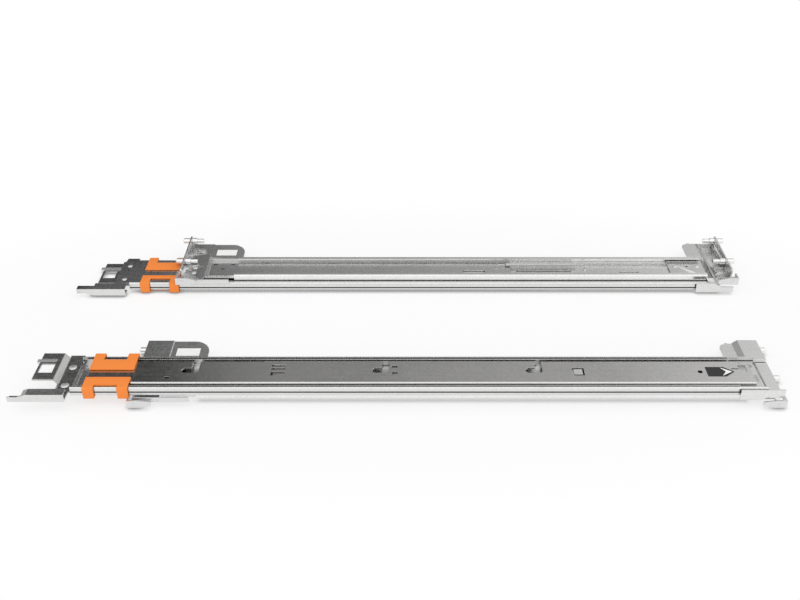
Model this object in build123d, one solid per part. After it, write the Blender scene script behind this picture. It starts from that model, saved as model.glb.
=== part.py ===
from build123d import *
import os

# Pair of tool-less three-member sliding rails for a two-unit server, lying flat and closed.
# Every piece is drawn once, for the right rail with its server side up. x runs forward, with 0
# on the front flange's face, y runs up the mounted rail, and z runs from the rack side (0) to
# the server side. The left rail is the same rail mirrored, so it lies with its rack side up.

# Driving dimensions, in millimetres
BRACKET_SPAN = 599.0
ARM_REACH = 115.0
RACK_UNIT = 44.45
RACK_HOLE_EDGE = 6.35
RACK_HOLE_STEP = 15.875
BRACKET_HEIGHT = 86.0
LEFT_RAIL_PITCH = 192.0
LEFT_RAIL_SHIFT = 9.0
PLATE_GAUGE = 1.5

# The bracket's place in the two rack units, and the sliding members' centre line above its low edge
BRACKET_Y = 42.0
SLIDE_RISE = 26.5
BRACKET_LOW = BRACKET_Y - BRACKET_HEIGHT / 2
BRACKET_HIGH = BRACKET_Y + BRACKET_HEIGHT / 2
LOWER_PIN_Y = BRACKET_Y - RACK_UNIT + RACK_HOLE_EDGE + 2 * RACK_HOLE_STEP
UPPER_PIN_Y = BRACKET_Y + RACK_UNIT - RACK_HOLE_EDGE
PIN_YS = (LOWER_PIN_Y, UPPER_PIN_Y)
SLIDE_Y = BRACKET_LOW + SLIDE_RISE
REAR_FACE = -BRACKET_SPAN
RAIL_REAR = REAR_FACE - ARM_REACH

# Clearances
SLIDE_GAP = 0.3
LIP_GAP = 0.2
BALL_GAP = 0.05
PIVOT_GAP = 0.05
CAGE_HOLE_GAP = 0.15
CLIP_GAP = 0.15
LEAF_GAP = 0.1

# Outer member: the fixed channel, open to the server side
OUTER_GAUGE = 1.5
OUTER_HALF = 24.5
OUTER_BACK = 11.0
OUTER_TOP = 20.5
OUTER_LIP = 2.5
OUTER_BEND = 1.9
OUTER_FRONT = -15.0
OUTER_RUN_OUT = 54.0
TONGUE_LENGTH = 16.0
TONGUE_MARGIN = 1.0
STOP_RADIUS = 5.5
STOP_SET_BACK = 2.0
OUTER_REAR = REAR_FACE - OUTER_RUN_OUT
OUTER_WEB_TOP = OUTER_BACK + OUTER_GAUGE
OUTER_WALL_IN = OUTER_HALF - OUTER_GAUGE
TONGUE_TOP = OUTER_WEB_TOP + OUTER_GAUGE
TONGUE_REAR = OUTER_REAR - TONGUE_LENGTH

# Balls and their cages
BALL_RADIUS = 1.2
BALL_SIDES = 8
BALL_HALF_HEIGHT = 0.9
BALL_TAPER = 38.0
BALLS_PER_ROW = 4
BALL_PITCH = 66.0
CAGE_GAUGE = 0.8
CAGE_END = 30.0
CAGE_MARGIN = 0.8
OUTER_CAGE_REAR = -456.0
INNER_CAGE_REAR = -480.0
RACE_STEP = 2 * (BALL_RADIUS + BALL_GAP)
CAGE_LENGTH = (BALLS_PER_ROW - 1) * BALL_PITCH + 2 * CAGE_END
CAGE_HALF = BALL_RADIUS + CAGE_HOLE_GAP + CAGE_MARGIN

# Intermediate member, which hangs in the outer one on two rows of balls
MIDDLE_GAUGE = 1.3
MIDDLE_TOP = 20.2
MIDDLE_BEND = 1.7
MIDDLE_FLOOR_GAP = 0.4
MIDDLE_FRONT = -40.0
MIDDLE_SET_BACK = 5.0
MIDDLE_REAR = OUTER_REAR + MIDDLE_SET_BACK
MIDDLE_HALF = OUTER_WALL_IN - RACE_STEP
MIDDLE_BACK = OUTER_WEB_TOP + MIDDLE_FLOOR_GAP
MIDDLE_WEB_TOP = MIDDLE_BACK + MIDDLE_GAUGE
MIDDLE_WALL_IN = MIDDLE_HALF - MIDDLE_GAUGE
OUTER_ROW = OUTER_WALL_IN - BALL_GAP - BALL_RADIUS
OUTER_BALL_Z = (OUTER_WEB_TOP + OUTER_TOP - OUTER_GAUGE) / 2

# Inner member, which carries the server on four J-slots
INNER_GAUGE = 1.3
INNER_TOP = 20.4
INNER_BEND = 1.7
INNER_FLOOR_GAP = 1.2
INNER_FRONT = -24.0
INNER_SET_BACK = 13.0
INNER_NOSE_RUN = 17.0
INNER_NOSE_DROP = 8.0
INNER_TAIL = 6.0
STUD_SLOTS = (-31.5, -222.0, -365.0, -543.0)
STUD_SLOT_WIDTH = 7.0
STUD_SLOT_HOOK = 9.0
STUD_SLOT_DROP = 1.5
GAUGE_HOLE_X = -72.0
GAUGE_HOLE_RADIUS = 2.3
INNER_REAR = OUTER_REAR + INNER_SET_BACK
INNER_HALF = MIDDLE_WALL_IN - RACE_STEP
INNER_LOW = MIDDLE_WEB_TOP + INNER_FLOOR_GAP
INNER_WEB_LOW = INNER_TOP - INNER_GAUGE
INNER_ROW = MIDDLE_WALL_IN - BALL_GAP - BALL_RADIUS
INNER_BALL_Z = (MIDDLE_WEB_TOP + INNER_TOP - INNER_GAUGE) / 2

# Small lanced windows of the inner web: middle in x, offset from the centre line, length, height
INNER_LANCES = (
    (-465.5, 9.5, 13.0, 2.5), (-465.5, 4.5, 13.0, 2.5), (-465.5, -3.0, 13.0, 5.0),
    (-356.5, 8.0, 5.0, 3.0), (-356.5, -2.0, 5.0, 3.0), (-567.0, -8.5, 5.0, 2.4),
)

# Inner lock: a spring leaf under the inner web with its pad standing in a window
LOCK_FRONT = -181.5
LOCK_REAR = -215.0
LOCK_GAUGE = 0.8
LOCK_HALF = 4.0
LOCK_PAD = 8.0
LOCK_WINDOW_GAP = 1.5
LOCK_RECESS = 0.2

# Guide channel on the rack side, and the rear extension that runs in it
GUIDE_GAUGE = 1.2
GUIDE_HALF = 19.5
GUIDE_DEPTH = 7.0
GUIDE_LIP = 5.0
GUIDE_FRONT = -28.0
GUIDE_SET_BACK = 59.0
GUIDE_BEND = 1.5
GUIDE_REAR = REAR_FACE + GUIDE_SET_BACK
GUIDE_WEB_LOW = OUTER_BACK - GUIDE_GAUGE
GUIDE_LIP_LOW = OUTER_BACK - GUIDE_DEPTH
EXTENSION_GAUGE = 1.3
EXTENSION_FRONT = -240.0
EXTENSION_BEND = 1.6
EXTENSION_MARGIN = 2.0
EXTENSION_BACK = GUIDE_WEB_LOW - SLIDE_GAP
EXTENSION_HALF = GUIDE_HALF - GUIDE_GAUGE - LIP_GAP
EXTENSION_LOW = GUIDE_LIP_LOW + GUIDE_GAUGE + LIP_GAP
EXTENSION_WEB_LOW = EXTENSION_BACK - EXTENSION_GAUGE

# Stop windows: middle in x, offset from the centre line, length, height
GUIDE_WINDOWS = ((-109.5, -5.5, 21.0, 5.5), (-203.0, -2.5, 60.0, 2.0))
EXTENSION_WINDOWS = ((EXTENSION_FRONT - 39.5, -5.5, 24.0, 5.5), (REAR_FACE + 35.0, 9.5, 5.0, 2.4),
                     (REAR_FACE + 54.0, 9.5, 5.0, 2.4), (REAR_FACE + 44.0, 0.5, 4.0, 2.4))

# Depth spring, between a tab of the extension and a tab of the guide channel
SPRING_RADIUS = 2.0
SPRING_WIRE = 0.7
SPRING_OFFSET = 5.5
SPRING_LENGTH = 77.0
SPRING_SET_BACK = 4.0
SPRING_HOOK = 10.0
SPRING_TAB_GAUGE = 1.2
SPRING_TAB_WIDTH = 3.0
SPRING_REAR = EXTENSION_FRONT - SPRING_SET_BACK
SPRING_FRONT = SPRING_REAR + SPRING_LENGTH
SPRING_Y = SLIDE_Y + SPRING_OFFSET
SPRING_Z = EXTENSION_WEB_LOW - LIP_GAP - SPRING_RADIUS

# Brackets
FRONT_PAN = 28.0
REAR_PAN = 26.0
PAN_LAP = 1.0
RIVET_PLATE = 37.0
RIVET_PLATE_HALF = 17.0
GRIP_RISE = 28.0
FRONT_GRIP = 17.0
REAR_GRIP = 43.0
GRIP_MARGIN = 1.5
GRIP_RADIUS = 7.0
LIP_RETURN = 3.0
WRAP_LENGTH = 40.0
WRAP_NECK = 14.0
WRAP_NECK_Z = 14.0
WRAP_TAPER = 7.0
FLANGE_DROP = 14.5
FLANGE_RADIUS = 2.5
LABEL_GAUGE = 0.2
LABEL_LENGTH = 25.0
LABEL_HEIGHT = 15.0
LABEL_INSET = 7.0
FRONT_PAN_LOW = OUTER_BACK - PLATE_GAUGE
RIVET_PLATE_LOW = GUIDE_WEB_LOW - PLATE_GAUGE
REAR_PAN_LOW = EXTENSION_WEB_LOW - PLATE_GAUGE
SHELF_RISE = 0.5
SHELF_LOW = OUTER_BACK + SHELF_RISE
SHELF_TOP = SHELF_LOW + PLATE_GAUGE
GRIP_LOW = SLIDE_Y + GRIP_RISE
FLANGE_LOW = SLIDE_Y - FLANGE_DROP
REAR_PAN_END = REAR_FACE + REAR_PAN
REAR_GRIP_END = REAR_PAN_END + REAR_GRIP

# Rack pins: a round nose in front of the flange, and an eight-sided shank riveted through it
PIN_RADIUS = 3.3
PIN_NOSE = 9.0
PIN_SHANK = 15.0
PIN_SHANK_RADIUS = 2.2
PIN_SHANK_SIDES = 8
PIN_Z = 4.4

# Release latches
LATCH_GAUGE = 1.5
LATCH_PIN_RADIUS = 1.6
LATCH_PIVOT_BACK = 4.0
LATCH_PIVOT_Z = 5.6
LATCH_HALF = 4.0
LATCH_SIDE_GAP = 0.4
LATCH_NOSE = 1.0
LATCH_LEVER = 15.0
LATCH_FINGER = 4.0
LATCH_NECK = 5.0
LATCH_HOOK = 9.0
EAR_LENGTH = 9.0
EAR_LAP = 1.0
EAR_OUTER = BRACKET_LOW - PLATE_GAUGE
LATCH_SIDE = EAR_OUTER - LATCH_SIDE_GAP

# Cable-arm bracket at the rear
ARM_BASE_GAP = 0.5
ARM_BASE_SPREAD = (-23.5, 31.5)
ARM_PLATE_LENGTH = 20.0
ARM_PLATE_SPREAD = (-11.5, 28.5)
ARM_PLATE_GAP = 2.0
ARM_STEP_RUN = 4.0
ARM_PLATE_TOP = 20.5
ARM_BEND = 1.6
ARM_WINDOW_RIM = 2.5
ARM_WINDOW_LENGTH = 13.0
ARM_WINDOW_SPREAD = (-1.5, 12.0)
HOOK_DROP = 34.5
HOOK_SET_BACK = 3.0
HOOK_WIDE = 34.0
HOOK_TAPER = 9.0
HOOK_TIP_HEIGHT = 5.0
HOOK_TIP_LIP = 7.0
HOOK_TOP_LIP = 9.0
HOOK_TONGUE_GAP = 0.3
CATCH_GAUGE = 0.8
CATCH_WIDTH = 4.4
CATCH_OFFSET = 17.0
CATCH_GAP = 0.6
CATCH_OVERHANG = 3.0
CATCH_SLOT = 16.0
CATCH_ROOT = 2.5
ARM_BASE_FRONT = OUTER_REAR - ARM_BASE_GAP
ARM_PLATE_FRONT = TONGUE_REAR - ARM_PLATE_GAP
ARM_PLATE_REAR = ARM_PLATE_FRONT - ARM_PLATE_LENGTH
HOOK_FRONT = OUTER_REAR - HOOK_SET_BACK
HOOK_WALL_Y = SLIDE_Y - HOOK_DROP
CATCH_Y = SLIDE_Y + CATCH_OFFSET

# Transport clips
CLIP_LENGTH = 41.5
CLIP_FLANGE_GAP = 0.5
CLIP_LEG = 10.0
CLIP_THICK = 1.8
CLIP_BACK_THICK = 1.0
CLIP_WALL = 2.3
CLIP_BAR_INSET = 8.0
CLIP_BEVEL = 1.2
UPPER_CLIP_REACH = 1.5
LOWER_CLIP_REACH = 10.1
CLIP_FRONT = REAR_FACE - CLIP_FLANGE_GAP
CLIP_REAR = CLIP_FRONT - CLIP_LENGTH

# Arrow label on the inner member
ARROW_REAR = -66.0
ARROW_BODY = 17.0
ARROW_HEAD = 9.0
ARROW_HALF = 7.0

# The left rail lies on its clips, so its back stands as high as its clips' faces
LEFT_TOP = OUTER_TOP + CLIP_GAP + CLIP_THICK

# Place of the whole pair: the origin is under the middle of its box
X_SHIFT = -(RAIL_REAR + PIN_NOSE + LEFT_RAIL_SHIFT) / 2
Y_SHIFT = -(HOOK_WALL_Y + BRACKET_HIGH + LEFT_RAIL_PITCH) / 2


def box(x, y, z):
    """A block between two values on each axis."""
    size = (x[1] - x[0], y[1] - y[0], z[1] - z[0])
    centre = ((x[0] + x[1]) / 2, (y[0] + y[1]) / 2, (z[0] + z[1]) / 2)
    return Pos(*centre) * Box(*size)


def sheet(sketch, z_low, gauge):
    """A flat sheet of a given gauge whose outline is drawn in plan."""
    return extrude(Plane.XY.offset(z_low) * sketch, amount=gauge)


def outline(x, y, radius=0.0):
    """A rectangle in plan between two values on each axis, with rounded corners."""
    centre = Pos((x[0] + x[1]) / 2, (y[0] + y[1]) / 2)
    if radius:
        return centre * RectangleRounded(x[1] - x[0], y[1] - y[0], radius)
    return centre * Rectangle(x[1] - x[0], y[1] - y[0])


def windows(places):
    """Rectangular windows in plan, from their middles, their offsets and their sizes."""
    return [Pos(x, SLIDE_Y + offset_y) * Rectangle(length, height) for x, offset_y, length, height in places]


def upright(points, y_low, gauge):
    """A flat sheet that stands along x, with its outline drawn in x and z."""
    plane = Plane.XZ.offset(-y_low - gauge)
    return extrude(plane * make_face(Polyline(*points, close=True)), amount=gauge)


def folded(points, gauge, bend, side):
    """The section of a strip of sheet folded along a line of points on its outer face."""
    return make_face(offset(FilletPolyline(*points, radius=bend), amount=gauge, side=side))


def rolled(points, gauge, bend, x, side):
    """A member rolled to a section in y and z, running along x."""
    section = Plane.YZ.offset(x[0]) * folded(points, gauge, bend, side)
    return extrude(section, amount=x[1] - x[0])


def cross_bore(x, y, z, radius, length):
    """A round bore or pin along y."""
    return Pos(x, y, z) * Rot(90) * Cylinder(radius, length)


def outer_member():
    """The fixed channel with turned-in lips, its rear tongue and its front stop."""
    low, high = SLIDE_Y - OUTER_HALF, SLIDE_Y + OUTER_HALF
    points = [
        (low + OUTER_LIP, OUTER_TOP), (low, OUTER_TOP), (low, OUTER_BACK),
        (high, OUTER_BACK), (high, OUTER_TOP), (high - OUTER_LIP, OUTER_TOP),
    ]
    member = rolled(points, OUTER_GAUGE, OUTER_BEND, (OUTER_REAR, OUTER_FRONT), Side.LEFT)
    tongue_half = OUTER_WALL_IN - TONGUE_MARGIN
    tongue_y = (SLIDE_Y - tongue_half, SLIDE_Y + tongue_half)
    member += box((TONGUE_REAR, OUTER_REAR + OUTER_GAUGE), tongue_y, (OUTER_WEB_TOP, TONGUE_TOP))
    stop = Pos(OUTER_FRONT - STOP_SET_BACK - STOP_RADIUS, SLIDE_Y) * Circle(STOP_RADIUS)
    stop -= outline((OUTER_FRONT - STOP_SET_BACK - STOP_RADIUS, OUTER_FRONT), tongue_y)
    return member - sheet(stop, OUTER_BACK, OUTER_GAUGE)


def intermediate_member():
    """The middle channel, which runs between the outer and the inner member."""
    low, high = SLIDE_Y - MIDDLE_HALF, SLIDE_Y + MIDDLE_HALF
    points = [(low, MIDDLE_TOP), (low, MIDDLE_BACK), (high, MIDDLE_BACK), (high, MIDDLE_TOP)]
    return rolled(points, MIDDLE_GAUGE, MIDDLE_BEND, (MIDDLE_REAR, MIDDLE_FRONT), Side.LEFT)


def stud_slot():
    """The plan of one J-slot, with its entry at the upper edge and its seat to the rear."""
    half = STUD_SLOT_WIDTH / 2
    seat_y = SLIDE_Y - STUD_SLOT_DROP + half
    entry = outline((-half, half), (seat_y, SLIDE_Y + INNER_HALF + half))
    seat = Pos(-STUD_SLOT_HOOK / 2, seat_y) * SlotCenterToCenter(STUD_SLOT_HOOK, STUD_SLOT_WIDTH)
    return entry + seat


def inner_outline():
    """The plan of the inner member: its upper front corner cut back, and a pointed tail."""
    low, high = SLIDE_Y - INNER_HALF, SLIDE_Y + INNER_HALF
    return make_face(
        Polyline((INNER_REAR, low + INNER_TAIL), (INNER_REAR + INNER_TAIL, low), (INNER_FRONT, low),
                 (INNER_FRONT, high - INNER_NOSE_DROP), (INNER_FRONT - INNER_NOSE_RUN, high),
                 (INNER_REAR + INNER_TAIL, high), (INNER_REAR, high - INNER_TAIL), close=True)
    )


def inner_member():
    """The server's member: a channel open to the rack side with J-slots and small windows."""
    low, high = SLIDE_Y - INNER_HALF, SLIDE_Y + INNER_HALF
    points = [(low, INNER_LOW), (low, INNER_TOP), (high, INNER_TOP), (high, INNER_LOW)]
    member = rolled(points, INNER_GAUGE, INNER_BEND, (INNER_REAR, INNER_FRONT), Side.RIGHT)
    member &= sheet(inner_outline(), INNER_LOW, INNER_TOP - INNER_LOW)
    for slot_x in STUD_SLOTS:
        member -= sheet(Pos(slot_x) * stud_slot(), INNER_LOW, INNER_TOP - INNER_LOW)
    holes = windows(INNER_LANCES) + [lock_window(), Pos(GAUGE_HOLE_X, SLIDE_Y) * Circle(GAUGE_HOLE_RADIUS)]
    for hole in holes:
        member -= sheet(hole, INNER_WEB_LOW, INNER_GAUGE)
    return member


def lock_window():
    """The window that the lock's pad stands in."""
    half = LOCK_HALF + LOCK_WINDOW_GAP
    x = (LOCK_FRONT - LOCK_PAD - LOCK_WINDOW_GAP, LOCK_FRONT + LOCK_WINDOW_GAP)
    return outline(x, (SLIDE_Y - half, SLIDE_Y + half))


def inner_lock():
    """The lock leaf under the inner web, with its tip turned up into a pad in the window."""
    leaf_high = INNER_WEB_LOW - LEAF_GAP
    pad_high = INNER_TOP - LOCK_RECESS
    section = folded(
        [(LOCK_REAR, leaf_high - LOCK_GAUGE), (LOCK_FRONT, leaf_high - LOCK_GAUGE), (LOCK_FRONT, pad_high),
         (LOCK_FRONT - LOCK_PAD, pad_high)], LOCK_GAUGE, 0, Side.LEFT)
    plane = Plane.XZ.offset(-SLIDE_Y - LOCK_HALF)
    return extrude(plane * section, amount=2 * LOCK_HALF)


def ball_places(cage_rear):
    """The stations of the balls along one cage."""
    return [cage_rear + CAGE_END + step * BALL_PITCH for step in range(BALLS_PER_ROW)]


def cage(cage_rear, row, ball_z):
    """The two strips of a ball cage, with a square window for every ball."""
    pocket = 2 * (BALL_RADIUS + CAGE_HOLE_GAP)
    strips = []
    for side in (-1, 1):
        centre_y = SLIDE_Y + side * row
        place = Pos(cage_rear + CAGE_LENGTH / 2, centre_y, ball_z)
        strip = place * Box(CAGE_LENGTH, CAGE_GAUGE, 2 * CAGE_HALF)
        for ball_x in ball_places(cage_rear):
            strip -= Pos(ball_x, centre_y, ball_z) * Box(pocket, 2 * CAGE_GAUGE, pocket)
        strips.append(strip)
    return strips


def ball():
    """A steel ball in few faces: two tapered halves on an eight-sided waist."""
    half = extrude(RegularPolygon(BALL_RADIUS, BALL_SIDES), amount=BALL_HALF_HEIGHT, taper=BALL_TAPER)
    return half + mirror(half, Plane.XY)


def balls(cage_rear, row, ball_z):
    """The steel balls of one cage, in two rows."""
    return [Pos(ball_x, SLIDE_Y + side * row, ball_z) * ball()
            for side in (-1, 1) for ball_x in ball_places(cage_rear)]


def guide_channel():
    """The lipped channel on the rack side, with the front tab of the depth spring."""
    low, high = SLIDE_Y - GUIDE_HALF, SLIDE_Y + GUIDE_HALF
    points = [
        (low + GUIDE_LIP, GUIDE_LIP_LOW), (low, GUIDE_LIP_LOW), (low, OUTER_BACK),
        (high, OUTER_BACK), (high, GUIDE_LIP_LOW), (high - GUIDE_LIP, GUIDE_LIP_LOW),
    ]
    guide = rolled(points, GUIDE_GAUGE, GUIDE_BEND, (GUIDE_REAR, GUIDE_FRONT), Side.RIGHT)
    for window in windows(GUIDE_WINDOWS):
        guide -= sheet(window, GUIDE_WEB_LOW, GUIDE_GAUGE)
    return guide + spring_tab(SPRING_FRONT + SPRING_HOOK, GUIDE_WEB_LOW)


def spring_tab(tab_x, web_low):
    """The lanced tab that holds one hook of the depth spring."""
    half = SPRING_TAB_WIDTH / 2
    tab_y = (SPRING_Y - half, SPRING_Y + half)
    return box((tab_x, tab_x + SPRING_TAB_GAUGE), tab_y, (SPRING_Z - SPRING_WIRE, web_low))


def rear_extension():
    """The telescoping channel that carries the rear bracket, with the rear tab of the spring."""
    low, high = SLIDE_Y - EXTENSION_HALF, SLIDE_Y + EXTENSION_HALF
    points = [(low, EXTENSION_LOW), (low, EXTENSION_BACK), (high, EXTENSION_BACK), (high, EXTENSION_LOW)]
    walls_rear = REAR_PAN_END + SLIDE_GAP
    member = rolled(points, EXTENSION_GAUGE, EXTENSION_BEND, (walls_rear, EXTENSION_FRONT), Side.RIGHT)
    member += box((REAR_FACE + PLATE_GAUGE, walls_rear), (low + EXTENSION_MARGIN, high - EXTENSION_MARGIN),
                  (EXTENSION_WEB_LOW, EXTENSION_BACK))
    for window in windows(EXTENSION_WINDOWS):
        member -= sheet(window, EXTENSION_WEB_LOW, EXTENSION_GAUGE)
    return member + spring_tab(SPRING_REAR - SPRING_HOOK - SPRING_TAB_GAUGE, EXTENSION_WEB_LOW)


def depth_spring():
    """The close-wound coil that pulls the extension forward, with a straight hook at each end."""
    middle_x = (SPRING_REAR + SPRING_FRONT) / 2
    coil = Pos(middle_x, SPRING_Y, SPRING_Z) * Rot(0, 90) * Cylinder(SPRING_RADIUS, SPRING_LENGTH)
    half = SPRING_WIRE / 2
    hooks = box((SPRING_REAR - SPRING_HOOK, SPRING_FRONT + SPRING_HOOK), (SPRING_Y - half, SPRING_Y + half),
                (SPRING_Z - half, SPRING_Z + half))
    return coil + hooks


def rack_flange(face_x, forward, plan):
    """A rack flange behind its face, with rounded lower corners and the holes of its pins."""
    back_x = face_x - PLATE_GAUGE if forward else face_x
    plate = extrude(Plane.YZ.offset(back_x) * make_face(Polyline(*plan, close=True)), amount=PLATE_GAUGE)
    plate = fillet(plate.edges().filter_by(Axis.X).group_by(Axis.Z)[0], FLANGE_RADIUS)
    for pin_y in PIN_YS:
        plate -= pin_shank(back_x, pin_y, PLATE_GAUGE)
    return plate


def pin_shank(x_low, pin_y, length):
    """The eight-sided shank of a rack pin, running along x."""
    section = Pos(pin_y, PIN_Z) * RegularPolygon(PIN_SHANK_RADIUS, PIN_SHANK_SIDES)
    return extrude(Plane.YZ.offset(x_low) * section, amount=length)


def front_bracket():
    """The front end: riveted plate, pan, rack flange, near wrap, latch ear and grip tab."""
    pan = sheet(outline((-FRONT_PAN, 0), (BRACKET_LOW, BRACKET_HIGH)), FRONT_PAN_LOW, PLATE_GAUGE)
    plate_y = (SLIDE_Y - RIVET_PLATE_HALF, SLIDE_Y + RIVET_PLATE_HALF)
    plate = sheet(outline((GUIDE_FRONT - RIVET_PLATE, GUIDE_FRONT), plate_y), RIVET_PLATE_LOW, PLATE_GAUGE)
    step = box((GUIDE_FRONT, GUIDE_FRONT + PLATE_GAUGE), plate_y, (RIVET_PLATE_LOW, OUTER_BACK))
    grip = grip_tab((-FRONT_PAN - FRONT_GRIP, -FRONT_PAN + GRIP_RADIUS), FRONT_PAN_LOW)
    wrap_rear = -PAN_LAP - WRAP_LENGTH
    wrap = upright(
        [(wrap_rear, OUTER_TOP), (-PAN_LAP, OUTER_TOP), (-PAN_LAP, WRAP_NECK_Z), (-WRAP_NECK, WRAP_NECK_Z),
         (-WRAP_NECK - WRAP_TAPER, FRONT_PAN_LOW), (wrap_rear, FRONT_PAN_LOW)], EAR_OUTER, PLATE_GAUGE)
    ear = upright(ear_outline(0, -1, FRONT_PAN_LOW), EAR_OUTER, PLATE_GAUGE)
    face = rack_flange(0, True, [(FLANGE_LOW, 0), (BRACKET_HIGH, 0), (BRACKET_HIGH, OUTER_BACK),
                                 (FLANGE_LOW, OUTER_BACK)])
    rim = box((-FRONT_PAN, -PLATE_GAUGE), (BRACKET_HIGH - PLATE_GAUGE, BRACKET_HIGH),
              (FRONT_PAN_LOW - LIP_RETURN, FRONT_PAN_LOW))
    bracket = pan + plate + step + grip + wrap + ear + face + rim
    return bracket - latch_bore(-LATCH_PIVOT_BACK, EAR_OUTER)


def grip_tab(x, z_low):
    """A grip tab with rounded corners, beside a bracket's pan."""
    plan = outline(x, (GRIP_LOW, BRACKET_HIGH - GRIP_MARGIN), GRIP_RADIUS)
    return sheet(plan, z_low, PLATE_GAUGE)


def ear_outline(face_x, inward, pan_low):
    """The latch ear's outline in x and z, from behind a flange's face, with one corner cut off."""
    near, far = face_x + inward * PLATE_GAUGE, face_x + inward * EAR_LENGTH
    low, high = LATCH_PIVOT_Z - LATCH_HALF, pan_low + EAR_LAP
    cut = LATCH_HALF / 2
    return [(near, low), (far - inward * cut, low), (far, low + cut), (far, high), (near, high)]


def latch_bore(pivot_x, side_y):
    """The bore for a latch pin through a sheet that stands at side_y."""
    return cross_bore(pivot_x, side_y, LATCH_PIVOT_Z, LATCH_PIN_RADIUS, 3 * PLATE_GAUGE)


def rear_bracket():
    """The rear end: a pan on the extension, a raised shelf with its grip tab and the rack flange."""
    pan_x = (REAR_FACE + PLATE_GAUGE, REAR_PAN_END)
    step_y = (GRIP_LOW, GRIP_LOW + PLATE_GAUGE)
    pan = sheet(outline(pan_x, (BRACKET_LOW, step_y[1])), REAR_PAN_LOW, PLATE_GAUGE)
    shelf = sheet(outline(pan_x, (GRIP_LOW, BRACKET_HIGH)), SHELF_LOW, PLATE_GAUGE)
    grip = grip_tab((REAR_PAN_END - GRIP_RADIUS, REAR_GRIP_END), SHELF_LOW)
    step = box(pan_x, step_y, (REAR_PAN_LOW, SHELF_TOP))
    pan_top = REAR_PAN_LOW + PLATE_GAUGE
    face = rack_flange(REAR_FACE, False, [
        (FLANGE_LOW, 0), (BRACKET_HIGH, 0), (BRACKET_HIGH, SHELF_TOP), (step_y[0], SHELF_TOP),
        (step_y[0], pan_top), (FLANGE_LOW, pan_top)])
    ear = upright(ear_outline(REAR_FACE, 1, REAR_PAN_LOW), EAR_OUTER, PLATE_GAUGE)
    bracket = pan + shelf + grip + step + face + ear
    return bracket - latch_bore(REAR_FACE + LATCH_PIVOT_BACK, EAR_OUTER)


def rack_pins(face_x, forward):
    """Two pins that stand out of a rack flange and through the rack post's holes."""
    out = 1 if forward else -1
    shank_low = face_x - PIN_SHANK if forward else face_x
    pins = []
    for pin_y in PIN_YS:
        nose = Pos(face_x + out * PIN_NOSE / 2, pin_y, PIN_Z) * Rot(0, 90) * Cylinder(PIN_RADIUS, PIN_NOSE)
        pins.append(nose + pin_shank(shank_low, pin_y, PIN_SHANK))
    return pins


def front_latch():
    """The release latch: a side lever on the near face, its finger end and its hook."""
    pivot_x = -LATCH_PIVOT_BACK
    low, high = LATCH_PIVOT_Z - LATCH_HALF, LATCH_PIVOT_Z + LATCH_HALF
    tip = LATCH_NOSE + LATCH_GAUGE
    tail = pivot_x - LATCH_LEVER
    lever = upright(
        [(LATCH_NOSE, low), (tip, low), (tip, high), (pivot_x - LATCH_HALF, high),
         (tail, high - LATCH_GAUGE), (tail, high - LATCH_GAUGE - LATCH_FINGER), (pivot_x - LATCH_NECK, low)],
        LATCH_SIDE - LATCH_GAUGE, LATCH_GAUGE)
    hook = box((LATCH_NOSE, tip), (LATCH_SIDE - LATCH_GAUGE, LATCH_SIDE + LATCH_HOOK), (low, high))
    bore = cross_bore(pivot_x, LATCH_SIDE, LATCH_PIVOT_Z, LATCH_PIN_RADIUS + PIVOT_GAP, 3 * LATCH_GAUGE)
    return lever + hook - bore


def rear_latch():
    """The same latch turned round for the rear flange."""
    return Pos(REAR_FACE) * mirror(front_latch(), Plane.YZ)


def latch_pin(pivot_x):
    """The pin that a latch turns on, riveted in the bracket's ear."""
    low = LATCH_SIDE - LATCH_GAUGE - LEAF_GAP
    return cross_bore(pivot_x, (low + BRACKET_LOW) / 2, LATCH_PIVOT_Z, LATCH_PIN_RADIUS, BRACKET_LOW - low)


def rear_labels():
    """The blank paper labels on both faces of the rear grip tab."""
    x_high = REAR_GRIP_END - LABEL_INSET
    y_low = GRIP_LOW + LABEL_INSET
    plan = outline((x_high - LABEL_LENGTH, x_high), (y_low, y_low + LABEL_HEIGHT))
    return [sheet(plan, SHELF_TOP, LABEL_GAUGE), sheet(plan, SHELF_LOW - LABEL_GAUGE, LABEL_GAUGE)]


def arrow_label():
    """The direction label on the inner member's front, shaped as an arrow."""
    shoulder = ARROW_REAR + ARROW_BODY
    plan = Polyline((ARROW_REAR, SLIDE_Y - ARROW_HALF), (shoulder, SLIDE_Y - ARROW_HALF),
                    (shoulder + ARROW_HEAD, SLIDE_Y), (shoulder, SLIDE_Y + ARROW_HALF),
                    (ARROW_REAR, SLIDE_Y + ARROW_HALF), close=True)
    return sheet(make_face(plan), INNER_TOP, LABEL_GAUGE)


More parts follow.
